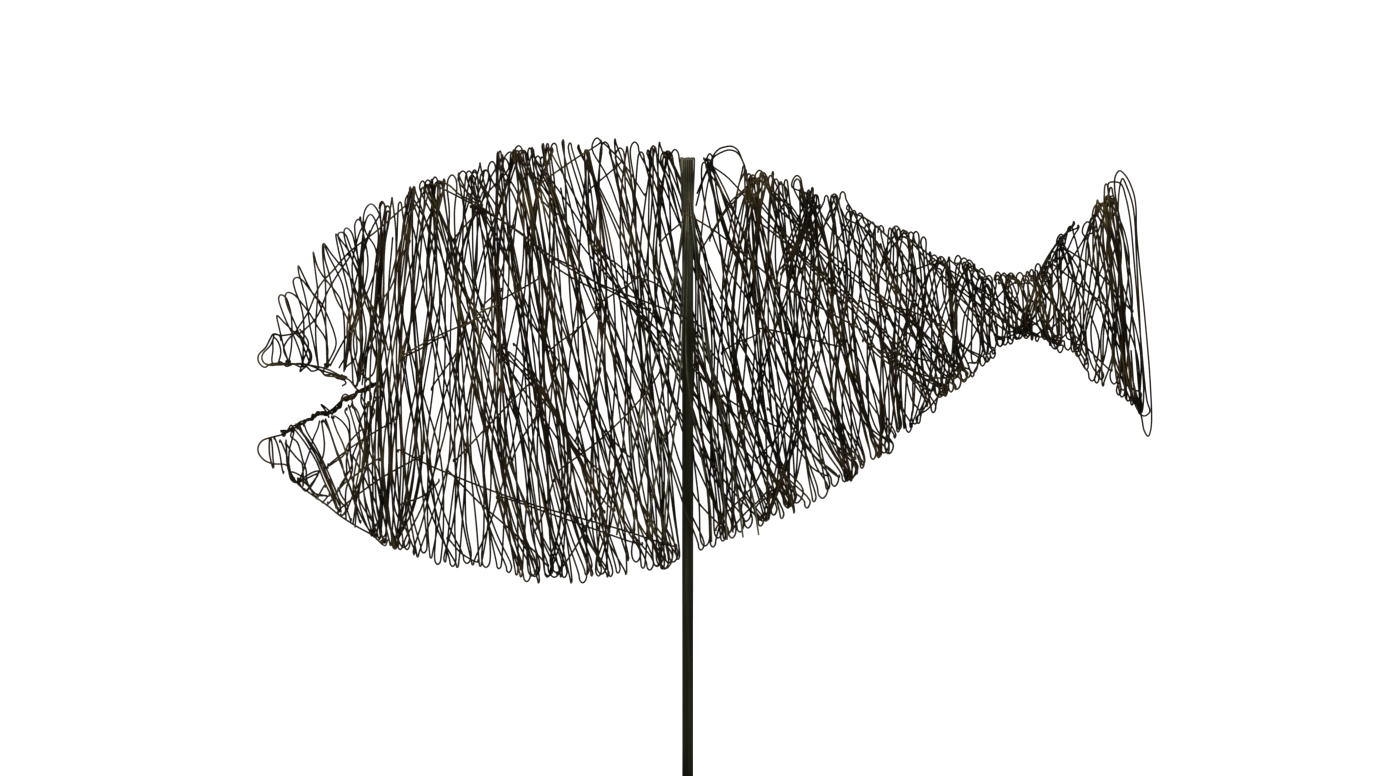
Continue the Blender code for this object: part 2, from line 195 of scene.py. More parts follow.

# The strands of the lower jaw, each listed on the side that it lies on.
LOWER_STRANDS = (
    (-1, (269.8, 438), (270, 446), (270.5, 455), (273, 468)),
    (1, (271, 438), (271.5, 447), (272, 456), (273.8, 467)),
    (-1, (274, 437), (278, 444), (281, 455), (282.5, 466), (283.4, 473.5)),
    (1, (280, 440), (284, 450), (287, 460), (289, 470), (291, 478), (295, 482), (302, 481)),
    (-1, (286, 440), (287.5, 452), (288, 462), (290, 472), (294, 480)),
    (-1, (285.5, 443), (292, 451), (299, 459), (303, 463), (304, 472), (303, 486)),
    (1, (293, 430), (290, 436.5), (296, 442), (299, 450), (301.5, 460), (305, 470), (306, 481), (316, 498)),
    (-1, (293, 428), (304, 440), (311, 450), (318, 462), (325, 480), (332, 495), (338, 510)),
    (-1, (296, 424), (303, 432), (311, 442), (320, 456), (327, 472), (334, 490), (340, 506)),
    (1, (304, 424), (306, 432), (314, 446), (321, 460), (330, 480), (337, 497), (341, 512)),
    (1, (299, 424), (302, 433), (309, 446), (316, 458), (323, 474), (331, 493), (336, 508)),
    (-1, (297, 427), (308, 440), (315, 451), (322, 466), (328, 480), (334, 494), (339, 512)),
    (1, (319.5, 421), (317, 428), (312.5, 438), (309, 450), (305, 462), (302, 472), (298, 483)),
    (-1, (321.5, 421), (324, 432), (325.5, 445), (324, 457), (321.5, 462), (326, 473), (334, 484), (341, 500),
     (347, 508), (351, 521)),
    (1, (323, 420), (328, 430), (332, 442), (336, 455), (345, 478), (350, 490), (359.7, 522)),
    (-1, (325.5, 419), (332, 434), (337, 448), (343, 462), (346, 475), (352, 490), (360.5, 523)),
    (-1, (331.6, 416), (338, 431), (344, 443), (348, 455), (354, 480), (361, 500), (368, 513), (376, 526)),
    (1, (334, 416), (342, 422.5), (347, 431), (348, 445), (345, 460), (345, 476), (339, 488), (328, 504)),
    (1, (347, 408), (344, 412), (347.5, 420), (348.5, 435), (349, 455), (351, 470), (345, 490), (346, 520)),
    (-1, (348.5, 405), (354, 420), (358, 433), (361, 445), (361.5, 462), (357, 490), (357, 515), (355, 527)),
    (1, (352, 403), (357, 420), (364, 437), (369, 455), (376, 470), (380, 490), (376, 538)),
    (-1, (352.5, 406), (359, 412), (362, 422), (366, 440), (364, 470), (360, 500), (370, 532)),
    (1, (362, 393), (360, 402), (364, 413), (368, 440), (366, 460), (362, 480), (366, 515), (374, 537)),
    (-1, (361, 395), (367, 404), (376, 410), (368, 430), (366, 462), (360, 485), (353, 524)),
    (-1, (363, 429), (350, 443), (345, 455), (337, 461), (328, 466)),
    (1, (360, 440), (352, 455), (350, 467), (345, 476), (338, 490), (347, 508), (341, 516)),
    (-1, (380, 458.5), (368, 466), (358, 474), (347, 482), (338, 490)),
    (1, (352, 455), (360, 472), (366, 485), (376, 508), (381, 530)),
    (-1, (318, 471), (310, 474), (304, 479), (310, 486), (316, 493), (322, 494.5), (329, 496)),
    (1, (319, 471), (314, 480), (309, 488), (305, 491)),
    (1, (291.5, 472), (298, 475), (303, 479), (308, 486), (316, 498)),
    (-1, (325, 485), (320, 495), (317, 499)),
    (1, (368, 466), (360, 480), (353, 492), (346, 509), (341, 516)))

# The upper lip, from the nose to the corner of the mouth.
LIP = ((258, 366), (300, 371), (345, 380), (378, 400))

# Where the jaws join the body, and the thick bundle behind the mouth.
THROAT = (
    Turn((382, 201.5, 3), (390.6, 545.5)), Turn((385.2, 203, 3), (380.5, 540), 2, 0.9),
    Turn((392, 197.5, 0.6), (384.5, 543)), Turn((388, 211, 2), (395, 549, 0.6)),
    Turn((400, 202, 2), (398, 547)))

# Bundles of wires that lie close together on one side of the body.
BUNDLES = (
    Turn((412, 187, 0.8), (402, 549.5), 2, 0.2), Turn((547.5, 143.6, 1), (552, 577), 3, 0.1),
    Turn((516, 150, 1), (519, 575, 1), 2, 0.8), Turn((500, 152, 1), (534, 576), 2, 0.1),
    Turn((587, 150, 1), (600, 576), 2, 0.2), Turn((653.5, 147, 1), (664, 569), 2, 0.2),
    Turn((588, 160, 0.6), (658, 566), 2, 0.75), Turn((668, 151, 0.6), (724, 541), 2, 0.3),
    Turn((709, 158, 1.5), (790, 508), 3, 0.15), Turn((763.5, 172.5, 1), (730, 534), 2, 0.15),
    Turn((812, 190, 1), (766, 521), 3, 0.15), Turn((835, 195, 1), (850, 481), 3, 0.3),
    Turn((895, 227, 1), (899, 432), 2, 0.3), Turn((944, 257, 1), (968, 380), 3, 0.3),
    Turn((1109, 196, 1), (1121, 395), 2, 0.2))

# The ends of the tail: three wires of their own, given one by one, and how deep they swing, as a share of
# half the thickness.
TAIL_SWING = 0.5
TAIL_LOOPS = (
    ((1141.5, 416), (1134, 330), (1124, 240), (1115, 190), (1115.5, 176), (1119.5, 170.8),
     (1126, 176.5), (1133.2, 193), (1135.6, 208), (1136, 230), (1139, 264), (1144.5, 317),
     (1150, 382), (1151, 428), (1148.2, 436.3), (1144.5, 431), (1141.8, 417), (1137, 400)),
    ((1127, 400), (1122, 300), (1113, 215), (1107.8, 188), (1108.6, 183), (1120, 183.6),
     (1125.5, 198), (1130, 221), (1134, 262), (1140, 330), (1147, 400), (1150, 412),
     (1144, 416), (1136, 406), (1128, 360)),
    ((1133, 404), (1126, 330), (1118, 230), (1119, 189), (1122.2, 178.6), (1127, 187.5),
     (1133.4, 208), (1137, 262), (1141, 340), (1144, 398), (1141.5, 413), (1137, 407),
     (1131, 350)))

# Strands that run lengthwise over the others: the side that they lie on, then their way.
SLANTS = (
    (-1, (430, 184), (500, 220), (580, 275), (690, 320), (705, 330)),
    (1, (397, 450), (420, 462), (440, 471), (515, 500), (620, 530), (676, 547)),
    (-1, (532, 383), (490, 425), (455, 461)),
    (-1, (540, 186), (572, 162), (601, 142.5)),
    (-1, (590, 191), (607, 176), (622, 162)),
    (-1, (682, 214), (715, 232), (780, 285), (860, 330), (872, 338)),
    (1, (752, 196), (785, 232), (822, 272)),
    (1, (760, 328), (800, 336), (842, 346)),
    (-1, (402, 358), (440, 336), (482, 317)),
    (-1, (328, 466), (362, 440), (397, 419)),
    (1, (338, 511), (378, 480), (422, 454)),
    (1, (496, 497), (560, 518), (642, 545)),
    (-1, (756, 222), (790, 248), (842, 296), (880, 330)),
    (1, (470, 205), (520, 232), (560, 270), (600, 290)),
    (-1, (560, 470), (600, 440), (640, 400), (660, 372)),
    (1, (860, 300), (905, 330), (950, 362)),
    (-1, (1051, 264), (1072, 280), (1106, 306)),
    (1, (1058, 318), (1082, 342), (1112, 371)),
    (-1, (1060, 247), (1092, 268), (1132, 312)),
    (-1, (297, 332), (309, 313), (321, 286), (336, 269), (349, 254), (361, 244), (376, 233),
     (396, 215), (409, 203)),
    (1, (299, 333), (304, 329), (316, 316), (326, 292), (337, 273), (349, 255)),
    (-1, (381, 304), (392, 289), (405, 253), (411, 243)),
    (-1, (438, 181), (450, 186), (460, 195), (475, 203), (500, 220), (515, 228)),
    (1, (525, 236), (545, 252), (577, 269), (600, 285), (625, 298), (650, 310)),
    (-1, (590, 243), (600, 255), (615, 263), (630, 275), (655, 284), (675, 300), (682, 306)),
    (1, (500, 300), (515, 291), (537, 278)),
    (-1, (460, 329), (472, 323), (483, 312), (500, 305)),
    (1, (403, 357), (420, 348), (435, 339), (445, 335)),
    (-1, (455, 240), (463, 230), (473, 219), (483, 207)),
    (1, (602, 142), (618, 157), (630, 172), (645, 195)),
    (-1, (660, 245), (668, 235), (683, 222)),
    (1, (541, 200), (552, 210), (563, 216)),
    (-1, (596, 307), (612, 296), (625, 288), (640, 276)),
    (1, (480, 307), (490, 297), (500, 290)),
    (-1, (575, 335), (583, 325), (600, 307)),
    (1, (620, 300), (640, 315), (662, 332)),
    (-1, (550, 352), (560, 343), (578, 330)),
    (1, (430, 388), (441, 372), (455, 352)),
    (-1, (400, 505), (425, 495), (440, 481)),
    (-1, (568, 438), (580, 452), (600, 470), (615, 485)),
    (1, (605, 430), (612, 440), (630, 458)),
    (-1, (625, 448), (612, 475), (604, 500), (590, 520), (580, 540), (566, 562), (557, 574)),
    (1, (553, 480), (547, 500), (540, 520), (533, 534)),
    (-1, (448, 537), (462, 553), (478, 562)),
    (1, (445, 470), (460, 485), (480, 505), (500, 522), (520, 540), (535, 553), (548, 567)),
    (-1, (514, 458), (522, 440), (538, 415), (552, 385), (560, 362)),
    (1, (575, 440), (583, 420), (595, 385), (600, 370)),
    (-1, (660, 400), (668, 412), (676, 425)),
    (1, (665, 440), (672, 427), (680, 412)),
    (-1, (702, 250), (710, 236), (720, 219), (731, 202), (741, 193), (750, 184), (760, 177)),
    (1, (710, 238), (724, 213), (739, 196), (751, 186), (758, 181)),
    (1, (779, 210), (790, 218), (803, 226), (816, 236)),
    (1, (841, 221), (855, 239), (868, 251), (878, 268)),
    (-1, (868, 300), (885, 305), (900, 309), (916, 314), (932, 322), (944, 326)),
    (-1, (893, 278), (900, 275), (912, 270.5), (924, 266.5), (934, 261)),
    (-1, (862, 340), (879, 351), (892, 354), (905, 356), (919, 359), (935, 362)),
    (1, (722, 352), (740, 341), (749, 338), (760, 332)),
    (-1, (722, 395), (732, 402), (740, 407), (756, 417), (780, 427)),
    (-1, (792, 405), (800, 421), (807, 440), (818, 455), (828, 469), (839, 477)),
    (1, (768, 408), (780, 426), (794, 442), (805, 458), (814, 469), (828, 476)),
    (1, (826, 408), (839, 421), (849, 433), (857, 442), (863, 452)),
    (-1, (820, 432), (840, 449), (855, 459)),
    (-1, (695, 423), (709, 442), (721, 458), (734, 479), (748, 500), (761, 518)),
    (-1, (716, 528), (725, 514), (741, 498), (756, 481), (764, 462)),
    (1, (733, 530), (738, 522), (748, 511), (759, 501), (770, 488)),
    (-1, (757, 458), (764, 450), (775, 439), (785, 421), (794, 401), (807, 375), (817, 354)),
    (-1, (853, 320), (862, 338), (873, 352), (888, 364), (905, 374), (920, 386), (929, 391)),
    (1, (866, 330), (880, 352), (896, 362), (912, 370), (930, 382), (948, 391)),
    (-1, (880, 351), (898, 362), (915, 372), (935, 378), (955, 376)),
    (1, (880, 335), (889, 349), (901, 366), (919, 381), (933, 391)),
    (-1, (1005, 312), (1015, 324), (1028, 334), (1043, 337)))

# Bands of wires that run over the others side by side: how many, their side, then their way.
BANDS = (
    (3, -1, (510, 345), (527, 365), (540, 385), (552, 405), (563, 425), (570, 440), (580, 458),
     (592, 485), (603, 507), (610, 520)),
    (4, -1, (812, 205), (808, 216), (802, 234), (796, 246), (789, 263), (783, 280)),
    (3, 1, (709, 164), (716, 197), (723, 221), (732, 246), (742, 263), (749, 280), (758, 310)))

# The wires of the mouth, listed: (across, down, share of half the thickness). They are the nose, its loop and
# its knot, the corner of the upper lip, the tip and the curl of the lower jaw, and the arch and the prong of
# the lower lip.
MOUTH_WIRES = (
    ((345, 378, -0.3), (327, 369, -0.25), (308, 365, -0.3), (286, 363.5, -0.3), (271, 364, -0.3),
     (265, 367.3, -0.2), (260, 364, 0.0), (257.8, 359.4, 0.2), (258.6, 354.6, 0.3),
     (265.5, 347, 0.4), (270, 338.5, 0.3), (273.5, 334, 0.0), (280, 336, -0.3), (281.5, 341, -0.4)),
    ((297, 333, 0.2), (281.5, 335.5, 0.2), (274, 334.5, 0.3), (273, 338, 0.4), (270, 345.5, 0.3),
     (263, 353.5, 0.1), (262, 358.7, -0.1), (266, 364, -0.4), (276.8, 364.8, -0.4),
     (280, 358, -0.2), (280.6, 350.5, 0.1), (277.5, 341.3, 0.3), (273.5, 337.5, 0.2),
     (272.8, 350, 0.1), (272.6, 363.6, 0.2), (286, 364.5, 0.35), (301, 363.5, 0.35),
     (311, 366, 0.3), (323, 371, 0.2), (338, 376, 0.1), (346, 383, 0.0), (342, 386, 0.05)),
    ((290, 363.5, -0.2), (284, 348, -0.3), (297, 333, -0.2), (310, 353.5, -0.2), (309, 361.5, 0.0),
     (303.5, 368, 0.2), (300, 371.6, 0.1), (303, 362, -0.2), (309, 343, -0.4), (300, 329, -0.3)),
    ((325, 366.5, -0.2), (324, 374.5, -0.2), (338, 377, -0.3), (349, 379.5, -0.3), (357, 389, -0.2),
     (363, 392, 0.0), (372, 386.5, 0.1), (380, 379, 0.2), (386, 368, 0.3)),
    ((377, 382, 0.2), (360, 391.5, 0.1), (345, 398, -0.1), (330, 411, -0.1), (313, 417, 0.1),
     (298, 426, 0.1), (284, 434, 0.0), (277, 436, -0.2), (270, 437.8, -0.3), (262.8, 440.4, -0.2),
     (258.2, 446.7, 0.0), (258.4, 453, 0.2), (264, 460.2, 0.3), (272, 463.6, 0.2),
     (287, 465.4, 0.0), (291.5, 474, -0.1), (298, 483.8, -0.1), (307.5, 491.5, 0.0),
     (328, 506.2, 0.1), (339.3, 515.2, 0.0), (356, 526, 0.0), (372.5, 535.6, 0.1),
     (382, 544.5, 0.2), (385.5, 545.5, 0.0), (388, 540, -0.3)),
    ((287, 431, 0.2), (291, 425.2, 0.1), (294, 430, -0.1), (289.5, 452, -0.3), (290.5, 478, -0.2),
     (295, 482.5, 0.0), (302.5, 480.3, 0.2), (317.5, 474, 0.4), (311, 484, 0.3), (305, 491, 0.1),
     (298, 478, -0.3), (307, 484, -0.4), (318, 495, -0.3), (327.5, 496, -0.1), (322, 503, 0.1)),
    ((333, 412, 0.3), (339.5, 404, 0.3), (342, 396.5, 0.2), (345.3, 394.3, 0.0),
     (350.5, 397.5, -0.2), (353, 403, -0.3), (350, 408, -0.3)),
    ((333, 415, -0.1), (328, 409.5, -0.1), (321.3, 404.5, -0.1), (326, 411.5, 0.05),
     (329, 418, 0.1)))

# The ways of the lips, and the wires that wind round them: way, radius and pitch in mm.
UPPER_LIP = (
    (267, 365.5), (280, 363.5), (290, 365.5), (300, 365.5), (308, 369), (318, 371), (328, 374.5),
    (338, 377.5), (346, 379))
LOWER_LIP = (
    (281, 432.7), (292, 428.5), (298.5, 424.4), (305, 422), (314, 416), (320, 413.6), (327, 413.5),
    (334, 410.5), (339.3, 405.5), (346, 398.5), (353, 396.5), (360, 391.8), (369, 386.8),
    (378, 381.5))
LIP_TWISTS = (
    (LOWER_LIP, 1.2, 13), (LOWER_LIP, 1.1, -9), (LOWER_LIP, 1.6, 21), (LOWER_LIP[3:], 2.0, -14),
    (UPPER_LIP, 1.3, 12))

# The pair of wide loops behind the post.
WIDE_LOOPS = (
    ((696, 205, 0.6), (703, 180, 0.3), (710, 165, 0.15), (713, 156, 0.1), (718.5, 149.3, 0.05),
     (725.5, 146.8, 0.0), (732, 146.4, 0.0), (737.5, 150, -0.05), (741.5, 158.5, -0.1),
     (744.6, 167.5, -0.15), (746.5, 180, -0.3), (754, 200, -0.6), (768, 250, -0.8), (776, 290, -0.9)),
    ((697, 193, 0.4), (706, 172, 0.2), (713.5, 157.5, 0.05), (721.5, 152.3, 0.0), (729.5, 150, 0.0),
     (737, 152.6, -0.05), (742.5, 161, -0.1), (745, 170, -0.15), (739, 184, -0.3), (735, 215, -0.6),
     (733, 250, -0.8), (720, 300, -0.9)))

# Knots: where a wire is coiled round the others, its radius in pixels, and its turns.
KNOTS = (
    ((288, 362), 2.4, 3), ((296.5, 333), 2.0, 3), ((327, 365), 2.6, 4), ((343, 378), 3.4, 5),
    ((349, 254), 1.8, 2), ((283.5, 434.5), 2.0, 3), ((314, 416), 2.2, 3), ((346, 399), 3.2, 4),
    ((325.5, 468), 1.6, 2), ((384, 541), 3.0, 3), ((1112, 202), 3.4, 4))

# Turns that no crest of their own shows: from here to there along the back, how many, and how far
# short of the edge they stop.
FILLING = (
    (405, 480, 6), (746, 790, 8), (820, 860, 1), (860, 930, 2), (930, 1000, 6), (1000, 1050, 5),
    (1050, 1108, 6))
SHORT_OF_EDGE = 7.0

# How uneven handwork is: the least and most of a measure, as shares of it.
UNEVEN = (0.8, 1.2)

# The bend at a tip: how wide it may be to either side, in pixels, how tall it is for that, how deep
# it is as a share of half the thickness, and how often the wire crosses itself in it.
BENDS = (0.6, 1.2, 2.0, 3.0, 4.0, 5.5)
BEND_TALL = 1.9
BEND_LEAST = 1.5
TIP_DEPTH = 0.13
CROSSED_TIPS = 0.22

# The strands' layers as shares of half the thickness: in the winding, over it and in the jaws, and
# how thin the fish is at its edge, as a squared share.
LAYERS = (0.62, 1.0)
OUTER_LAYERS = (0.85, 0.98)
JAW_LAYER = 0.85
THIN_EDGE = 0.02

# The strands: at which shares of their way they are led, how far they bow at least and for each
# pixel of their length, how much of that rounds out the bends that they leave, how much they
# waver, and how loosely the wires of one turn follow each other.
LED_AT = (0.10, 0.28, 0.50, 0.72, 0.90)
BOW_LEAST = 3.0
BOW = 0.019
JAW_BOW = 0.035
ROUNDING = 0.6
WAVER = 0.7
LOOSE = (2.0, 0.012)

# A strand's end is bent back this far round what it crosses: inward, and up or down.
HOOK = (3 * MM, 2 * MM)

# How a strand is laid where there is room: how many ways are tried for it, the squares of the
# fish's side that are counted, in pixels, and in how many places along it.
WAYS_TRIED = 3
SQUARE = 9.0
SQUARES_READ = 40

# The wires of one turn: how often there are 1, 2 or 3 of them, how far neighbours lie apart at the
# tips and where they come together, how far down that is, how unevenly, and how far along they open
# again. Then the steps between their tips, and how unevenly a band's wires end.
WIRES_IN_TURN = (0.93, 0.06, 0.01)
OPEN_GAP = (1.6, 5.0)
CLOSED_GAP = 1.4
PINCHED_AT = (0.1, 0.9)
PINCH_SPREAD = 0.12
PINCH_REACH = 0.55
STEPPED_TIPS = (0.5, 5.0)
BAND_ENDS = 12

# How turns are put together: how far a strand's foot strays and how far turns are out of order,
# in a short turn and for each pixel of its height, how tips that are used are passed over, and how
# far aside of them a turn ends that has no tip of its own, at the belly and at the back.
STRAY = (3.0, 0.17)
SHUFFLE = (3.0, 0.16)
CROWDING = 9.0
FOOT_ASIDE = 5
CREST_ASIDE = 6

# The wires that grip the post's top.
GRIP_WIRES = 8
GRIP_GAP = 0.12 * MM

# The fish is wound in stretches, each a piece of its own that ends at this pixel across.
STRETCHES = (
    ("fore_winding", 560), ("middle_winding", 700), ("rear_winding", 880), ("tail_winding", 1200))

SEED = 626


def place(across, down, deep=0.0):
    """The point at a pixel of the photograph and a share of the fish's half thickness there."""
    return Vector((
        (across - POST_AXIS_PX) * PIXEL,
        deep * marked(THICKNESS, across) * HALF_THICKNESS,
        POST_HIGH.z + (POST_TOP_PX - down) * PIXEL))


def marked(marks, across):
    """What a table of (across, value) says here. For an edge's tips it is how far down the edge is."""
    return float(np.interp(across, [mark[0] for mark in marks], [mark[1] for mark in marks]))


def beside_post(across):
    """A tip's place across, moved aside where the tip would run into the post."""
    off = across - POST_AXIS_PX
    return POST_AXIS_PX + math.copysign(max(abs(off), CLEAR_OF_POST_PX), off)


def between(first, last, t, start, end):
    """Where a straight way is at t, from the first point at its start to the last at its end."""
    return first + (last - first) * (t - start) / (end - start)


def smooth(points, rings=RINGS):
    """A smooth way through the points, which bends evenly however far apart they are."""
    marks = np.array([tuple(point) for point in points], float)
    marks = np.vstack([2 * marks[0] - marks[1], marks, 2 * marks[-1] - marks[-2]])
    least = 1e-7
    gaps = np.maximum(np.linalg.norm(np.diff(marks, axis=0), axis=1), least) ** 0.5
    knots = np.concatenate([[0.0], np.cumsum(gaps)])
    way = []
    for index in range(1, len(marks) - 2):
        t0, t1, t2, t3 = knots[index - 1:index + 3]
        p0, p1, p2, p3 = marks[index - 1:index + 3]
        for step in range(rings):
            t = t1 + (t2 - t1) * step / rings
            a1 = between(p0, p1, t, t0, t1)
            a2 = between(p1, p2, t, t1, t2)
            a3 = between(p2, p3, t, t2, t3)
            way.append(between(between(a1, a2, t, t0, t2), between(a2, a3, t, t1, t3), t, t1, t2))
    way.append(marks[-2])
    return np.array(way)


def bend(tip, outward, side, onward, draws):
    """The bend at a tip: from one side of the fish over its edge to the other side."""
    half = tip[2] if len(tip) > 2 else draws.choice(BENDS) * draws.uniform(*UNEVEN)
    crossed = len(tip) == 2 and draws.random() < CROSSED_TIPS
    swing = half * onward * (-1 if crossed else 1)
    tall = BEND_TALL * half + BEND_LEAST
    deep = TIP_DEPTH * draws.uniform(*UNEVEN)
    points = []
    for angle in (180, 135, 90, 45, 0):
        turn = math.radians(angle)
        points.append(place(
            tip[0] + swing * math.cos(turn),
            tip[1] - outward * tall * (1 - math.sin(turn)),
            -side * deep * math.cos(turn)))
    return points


def swayed(start, end, sway, share):
    """Where a strand is at a share of its way between two tips: across and down."""
    off = sway[0] * math.sin(math.pi * share) + sway[1] * math.sin(2 * math.pi * share)
    return start[0] + (end[0] - start[0]) * share + off, start[1] + (end[1] - start[1]) * share


def squares(start, end, sway):
    """The small squares of the fish's side that a strand runs over."""
    ways = [swayed(start, end, sway, step / SQUARES_READ) for step in range(SQUARES_READ + 1)]
    return {(across // SQUARE, down // SQUARE) for across, down in ways}


def draw_sway(start, end, bow, laid, draws):
    """How one strand bows between its ends, to where there is room for it, and its layer."""
    reach = BOW_LEAST + bow * math.dist(start[:2], end[:2])
    hang = -marked(HANG, min(start, end, key=lambda tip: tip[1])[0])
    tried = [
        (draws.gauss(hang, reach), draws.gauss(ROUNDING * reach, reach / 2), draws.uniform(*LAYERS))
        for _ in range(WAYS_TRIED)]
    best = min(tried, key=lambda sway: sum(laid[square] for square in squares(start, end, sway)))
    laid.update(squares(start, end, best))
    return best


def loosen(sway, start, end, draws):
    """The sway of one wire of a turn, which follows the others' only roughly."""
    reach = LOOSE[0] + LOOSE[1] * math.dist(start[:2], end[:2])
    shift = draws.gauss(0, reach)
    twirl = draws.gauss(0, reach / 2)
    return sway[0] + shift, sway[1] + twirl, draws.uniform(*LAYERS)


def strand(start, end, side, sway, drawn_in, draws):
    """The strand between two tips, down or up one side of the fish."""
    points = []
    for share in LED_AT:
        across, down = swayed(start, end, sway, share)
        down_share = share if end[1] > start[1] else 1 - share
        across -= drawn_in[0] * max(0.0, 1 - abs(down_share - drawn_in[1]) / PINCH_REACH)
        across += draws.gauss(0, WAVER)
        points.append(place(across, down, side * sway[2] * math.sqrt(4 * share * (1 - share))))
    return points


def near_side(top, bottom):
    """The side that a turn's near strand lies on: the far one where it would hide the post's top."""
    if (top[0] - POST_AXIS_PX) * (bottom[0] - POST_AXIS_PX) >= 0:
        return -1
    share = (POST_AXIS_PX - top[0]) / (bottom[0] - top[0])
    return 1 if top[1] + (bottom[1] - top[1]) * share < BARE_POST_PX else -1


def wind(turns, bow, laid, draws):
    """One long wire: down the near side of each turn, round its foot and up the far side."""
    points = []
    for turn, after in zip(turns, (*turns[1:], turns[-1])):
        near = draw_sway(turn.top, turn.bottom, bow, laid, draws)
        far = draw_sway(turn.top, turn.bottom, bow, laid, draws) if turn.wires > 1 else None
        gap = draws.uniform(*OPEN_GAP)
        onward = 1 if turn.bottom[0] >= turn.top[0] else -1
        for wire in range(turn.wires):
            rank = wire - (turn.wires - 1) / 2
            low = draws.uniform(*STEPPED_TIPS) if wire else 0.0
            top = (turn.top[0] + rank * gap, turn.top[1] + low, *turn.top[2:])
            bottom = (turn.bottom[0] + rank * gap, turn.bottom[1] - low, *turn.bottom[2:])
            pinch = turn.pinch + draws.uniform(-PINCH_SPREAD, PINCH_SPREAD)
            drawn_in = (rank * (gap - CLOSED_GAP), pinch)
            side = near_side(top, bottom)
            for point in bend(top, -1, 1, 1, draws):
                if side > 0:
                    point.y = abs(point.y)
                points.append(point)
            points += strand(top, bottom, side, loosen(near, top, bottom, draws), drawn_in, draws)
            points += bend(bottom, 1, -1, onward, draws)
            if wire == turn.wires - 1:
                free = draw_sway(bottom, after.top, bow, laid, draws)
                points += strand(bottom, after.top, 1, free, (0, 0.5), draws)
            else:
                up = (top[0] + gap, top[1])
                points += strand(bottom, up, 1, loosen(far, bottom, up, draws), drawn_in, draws)
    return points


def plan_turns(draws):
    """Which crest at the back goes with which place at the belly, so that each one is used."""
    turns = list(BUNDLES)
    uses = {foot: 0 for foot in BELLY}

    def nearest_foot(across, down):
        height = marked(BELLY, across) - down
        goal = across + marked(LEAN, across) + draws.gauss(0, STRAY[0] + STRAY[1] * height)
        return min(BELLY, key=lambda tip: abs(tip[0] - goal) + CROWDING * uses[tip])

    for crest in BACK:
        foot = nearest_foot(*crest[:2])
        uses[foot] += 1
        wires = draws.choices((1, 2, 3), WIRES_IN_TURN)[0]
        turns.append(Turn(crest, foot, wires, draws.uniform(*PINCHED_AT)))
    for first, last, count in FILLING:
        for _ in range(count):
            across = beside_post(draws.uniform(first, last))
            crest = (across, marked(BACK, across) + draws.uniform(0, SHORT_OF_EDGE))
            foot = nearest_foot(*crest)
            uses[foot] += 1
            if uses[foot] > 1:
                aside = beside_post(foot[0] + draws.uniform(-FOOT_ASIDE, FOOT_ASIDE))
                foot = (aside, foot[1] - draws.uniform(0, SHORT_OF_EDGE))
            turns.append(Turn(crest, foot))
    for foot in BELLY:
        if uses[foot] == 0:
            crest = min(BACK, key=lambda tip: abs(tip[0] + marked(LEAN, tip[0]) - foot[0]))
            across = beside_post(crest[0] + draws.uniform(-CREST_ASIDE, CREST_ASIDE))
            turns.append(Turn((across, marked(BACK, across) + draws.uniform(0, SHORT_OF_EDGE)), foot))

    def order(turn):
        height = turn.bottom[1] - turn.top[1]
        return turn.top[0] + draws.gauss(0, SHUFFLE[0] + SHUFFLE[1] * height)

    return sorted(turns, key=order)


def lens(across, down):
    """How thick the fish is at a place, as a share of its thickest there: thin at its edges."""
    crests = sorted([arch[0] for arch in UPPER_ARCHES] + [tip[:2] for tip in BACK])
    top = marked(crests, across)
    share = (down - top) / (marked((*LIP, *BELLY), across) - top)
    return math.sqrt(max(THIN_EDGE, 4 * share * (1 - share)))


def coil(middle, radius, turns, draws):
    """A knot: the wire coiled round a place on the edge, each turn tilted its own way."""
    steps, tilted, wide, tall, run_on = 8, 0.35, 0.8, 0.55, 0.5
    last = steps * turns
    points = []
    for index in range(last + 1):
        angle = index * 2 * math.pi / steps
        tilt = draws.uniform(-tilted, tilted)
        size = radius * draws.uniform(0.75, 1.15)
        across = middle[0] + size * wide * math.cos(angle) + run_on * size * (index / last - 0.5)
        down = middle[1] + size * (tall * math.sin(angle) + tilt)
        points.append(place(across, down) + Vector((0, size * PIXEL * math.sin(angle), 0)))
    return points


def twist(path, radius, pitch, draws):
    """A wire that winds round a path, as the second wire of a twisted edge does."""
    way = smooth([place(*point) for point in path], KNOT_RINGS)
    points = []
    run = 0.0
    for index in range(len(way) - 1):
        ahead = Vector(way[index + 1] - way[index])
        aside = ahead.cross(Vector((0, 1, 0))).normalized()
        angle = 2 * math.pi * run / pitch
        reach = radius * draws.uniform(*UNEVEN)
        off = aside * math.cos(angle) + Vector((0, math.sin(angle), 0))
        points.append(Vector(way[index]) + reach * off)
        run += ahead.length
    return points


def led(paths):
    """The ways of wires that are given in all three directions."""
    return [[place(*point) for point in path] for path in paths]


def rounded(path, side):
    """The way of a wire along one side of the fish, out from its edge and back to it."""
    count = len(path) - 1
    return [place(*point, side * JAW_LAYER * math.sqrt(4 * step / count * (1 - step / count)))
            for step, point in enumerate(path)]


